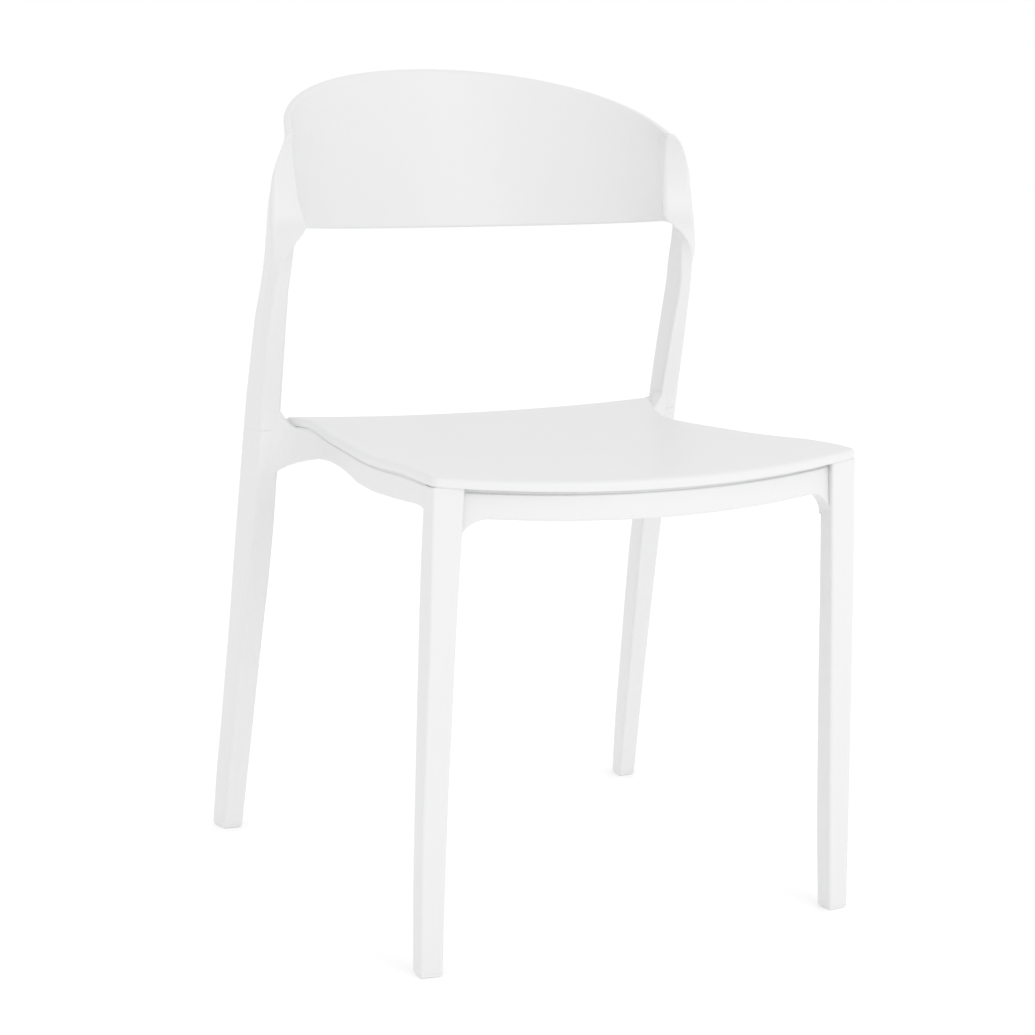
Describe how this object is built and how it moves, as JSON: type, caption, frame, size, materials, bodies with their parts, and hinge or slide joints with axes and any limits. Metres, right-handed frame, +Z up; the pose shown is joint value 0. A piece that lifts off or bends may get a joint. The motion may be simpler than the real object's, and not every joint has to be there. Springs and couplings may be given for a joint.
{
  "type": "stacking chair",
  "caption": "Armless white plastic stacking chair with a dished seat panel on a moulded frame, raked square legs and a bowed back band carried by twisted uprights.",
  "frame": {"origin": "on the floor below the middle of the bounding box", "axes": "+X to the sitter's left hand, across the chair's plane of symmetry; +Y towards the back, so the sitter faces -Y; +Z up"},
  "size_m": [0.513, 0.5631, 0.814],
  "materials": {
    "frame_plastic": "satin moulded, fine even texture",
    "seat_plastic": "satin moulded, fine even texture",
    "glide_plastic": "smooth",
    "screw_steel": "zinc plated"
  },
  "bodies": {
    "root": {"backrest": "frame_plastic", "upright_left": "frame_plastic", "upright_right": "frame_plastic", "rear_leg_left": "frame_plastic", "rear_leg_right": "frame_plastic", "front_leg_left": "frame_plastic", "front_leg_right": "frame_plastic", "front_rail": "frame_plastic", "rear_rail": "frame_plastic", "side_rail_left": "frame_plastic", "side_rail_right": "frame_plastic", "seat_panel": "seat_plastic", "seat_screws": "screw_steel", "glide_front_left": "glide_plastic", "glide_front_right": "glide_plastic", "glide_rear_left": "glide_plastic", "glide_rear_right": "glide_plastic"}
  },
  "joints": []
}
